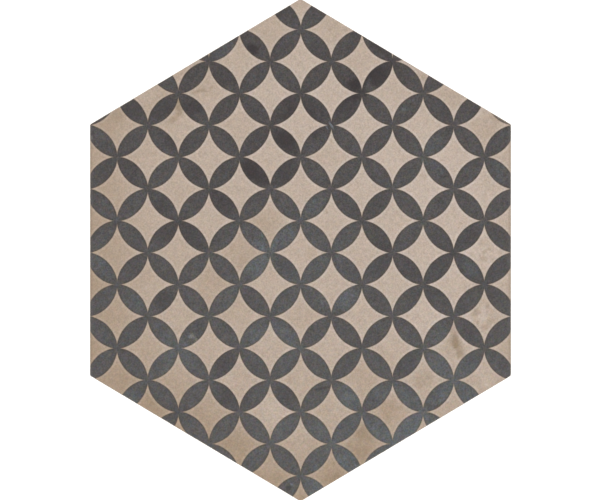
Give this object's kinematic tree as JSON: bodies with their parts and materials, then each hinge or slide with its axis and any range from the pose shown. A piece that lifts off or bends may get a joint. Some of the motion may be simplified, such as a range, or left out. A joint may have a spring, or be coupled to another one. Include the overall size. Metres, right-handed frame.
{
  "type": "hexagonal floor tile",
  "caption": "Hexagonal matt porcelain floor tile with a printed lattice of overlapping circles, a rounded face edge and a honeycomb keyed back.",
  "frame": {"origin": "middle of the back face, on the plane that the tile is bedded on", "axes": "+Z out of the printed face, X across the flats, Y across the corners"},
  "size_m": [0.25, 0.298, 0.009],
  "materials": {
    "printed_porcelain": "matt glaze printed with charcoal petals on a taupe ground, over a bare grey-beige porcelain body"
  },
  "bodies": {
    "root": {"tile": "printed_porcelain"}
  },
  "joints": []
}
